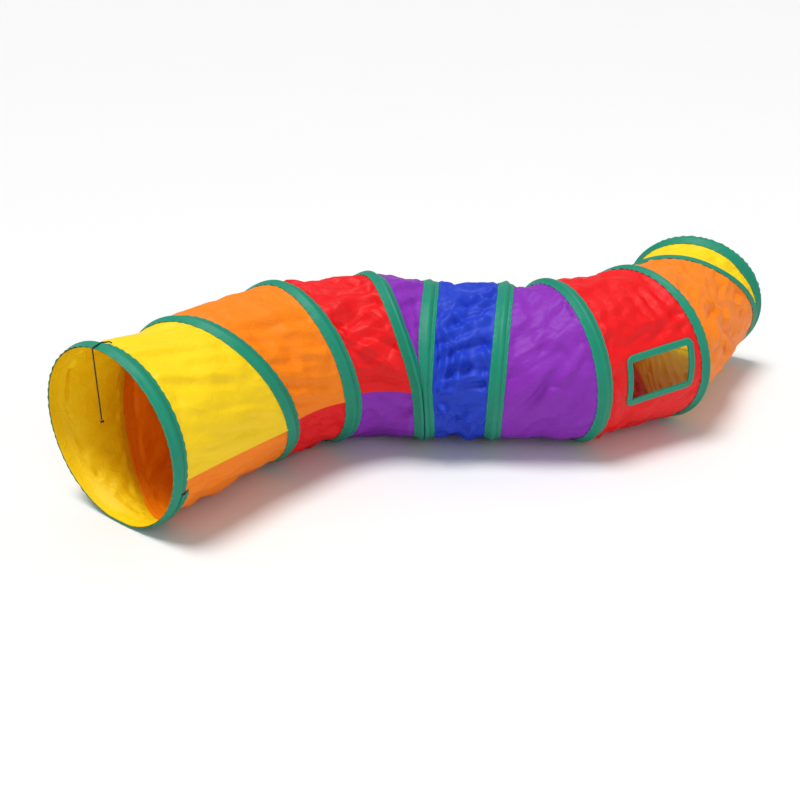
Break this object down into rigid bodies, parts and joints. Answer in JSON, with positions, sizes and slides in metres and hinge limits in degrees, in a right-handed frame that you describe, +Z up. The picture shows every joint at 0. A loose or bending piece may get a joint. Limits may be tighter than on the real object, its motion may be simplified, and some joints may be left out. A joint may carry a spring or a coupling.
{
  "type": "cat tunnel with spring hoops",
  "caption": "Pop-up cat tunnel of bright colour-block cloth on a coiled spring wire, laid in an S-bend, with an open mouth at each end, a square side window and a hanging string.",
  "frame": {"origin": "on the floor, under the middle of the whole tunnel's box", "axes": "+X from the front mouth's end towards the far mouth's end, +Y away from the side with the window, +Z up"},
  "size_m": [1.0806, 0.7162, 0.2549],
  "materials": {
    "yellow_cloth": "thin woven polyester with a soft shine",
    "orange_cloth": "thin woven polyester with a soft shine",
    "red_cloth": "thin woven polyester with a soft shine",
    "purple_cloth": "thin woven polyester with a soft shine",
    "blue_cloth": "thin woven polyester with a soft shine, crumpled",
    "green_tape": "woven tape, stitched along both edges",
    "black_cord": "plain twisted string",
    "spring_steel": "drawn wire"
  },
  "bodies": {
    "root": {"front_hoop": "spring_steel", "spring_wire": "spring_steel", "back_hoop": "spring_steel", "tape_front_hoop": "green_tape", "tape_turn_1": "green_tape", "tape_turn_2": "green_tape", "tape_turn_3": "green_tape", "tape_turn_4": "green_tape", "tape_turn_5": "green_tape", "tape_turn_6": "green_tape", "tape_turn_7": "green_tape", "tape_turn_8": "green_tape", "tape_back_hoop": "green_tape", "cloth_yellow_front": "yellow_cloth", "cloth_orange_front": "orange_cloth", "cloth_red_front": "red_cloth", "cloth_purple_front": "purple_cloth", "cloth_blue": "blue_cloth", "cloth_blue_join": "blue_cloth", "cloth_purple_back": "purple_cloth", "cloth_red_window": "red_cloth", "window_binding": "green_tape", "cloth_orange_back": "orange_cloth", "cloth_yellow_back": "yellow_cloth", "string": "black_cord", "string_knot": "black_cord"}
  },
  "joints": []
}
